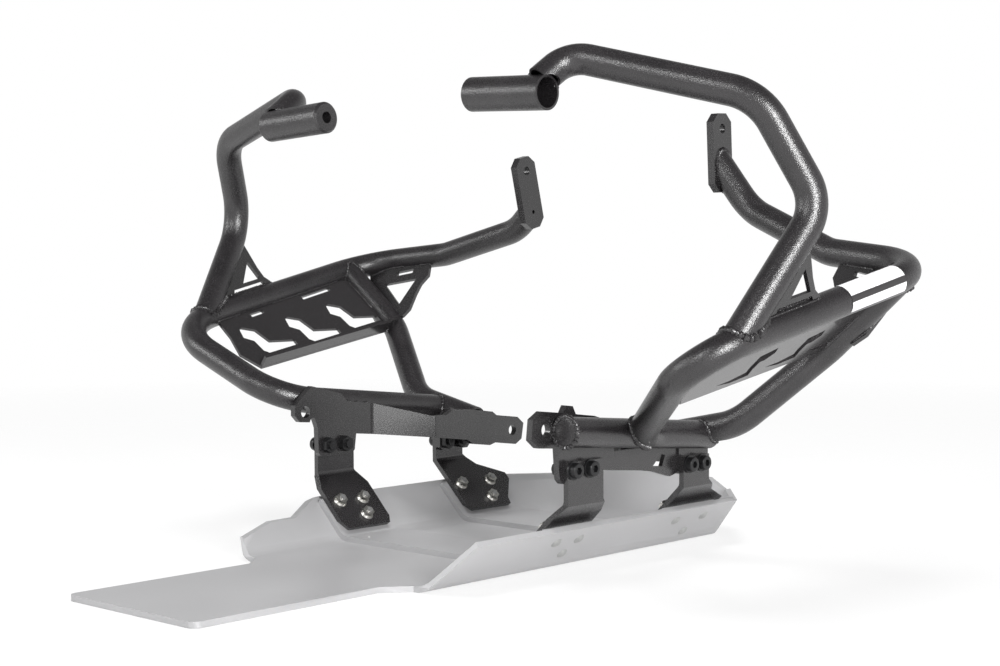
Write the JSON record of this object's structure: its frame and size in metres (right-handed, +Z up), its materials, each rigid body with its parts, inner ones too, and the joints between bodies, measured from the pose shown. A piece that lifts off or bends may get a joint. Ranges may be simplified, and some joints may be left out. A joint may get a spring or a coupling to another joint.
{
  "type": "motorcycle crash bars",
  "caption": "Bent-tube engine guards for a motorcycle, one each side, bolted through folded brackets to a folded aluminium skid pan.",
  "frame": {"origin": "on the pan's flat underside, on the mirror plane between the halves, 345 mm ahead of the tongue's end", "axes": "+Z up, +Y forward from the pan's tongue to its rising front, +X to the right-hand half"},
  "size_m": [0.7305, 0.6499, 0.4394],
  "materials": {
    "tube_powder_coat": "fine-textured satin black powder coat on bent steel tube",
    "plate_powder_coat": "satin black powder coat on laser-cut steel plate",
    "plug_powder_coat": "satin black powder coat on turned steel",
    "black_bolts": "blackened steel, satin",
    "zinc_fasteners": "bright zinc plate",
    "pan_aluminium": "satin anodised aluminium sheet",
    "saddle_aluminium": "satin anodised aluminium sheet"
  },
  "bodies": {
    "root": {"bracket_bolts": "black_bolts", "bracket_front_left": "plate_powder_coat", "bracket_front_right": "plate_powder_coat", "bracket_nuts": "black_bolts", "bracket_rear_left": "plate_powder_coat", "bracket_rear_right": "plate_powder_coat", "bracket_washers": "black_bolts", "front_gusset_left": "plate_powder_coat", "front_gusset_right": "plate_powder_coat", "front_leg_left": "plate_powder_coat", "front_leg_right": "plate_powder_coat", "front_saddle": "saddle_aluminium", "front_strut_left": "tube_powder_coat", "front_strut_right": "tube_powder_coat", "guard_panel_left": "plate_powder_coat", "guard_panel_right": "plate_powder_coat", "lower_plate_left": "plate_powder_coat", "lower_plate_right": "plate_powder_coat", "main_bar_left": "tube_powder_coat", "main_bar_right": "tube_powder_coat", "rear_gusset_left": "plate_powder_coat", "rear_gusset_right": "plate_powder_coat", "rear_saddle": "saddle_aluminium", "rear_stub_right": "tube_powder_coat", "skid_pan": "pan_aluminium", "sleeve_left": "tube_powder_coat", "sleeve_plug_left": "plug_powder_coat", "sleeve_plug_right": "plug_powder_coat", "sleeve_right": "tube_powder_coat", "upper_bar_left": "tube_powder_coat", "upper_bar_right": "tube_powder_coat", "upper_tab_left": "plate_powder_coat", "upper_tab_right": "plate_powder_coat", "wall_nuts": "zinc_fasteners", "wall_screws": "zinc_fasteners"}
  },
  "joints": []
}
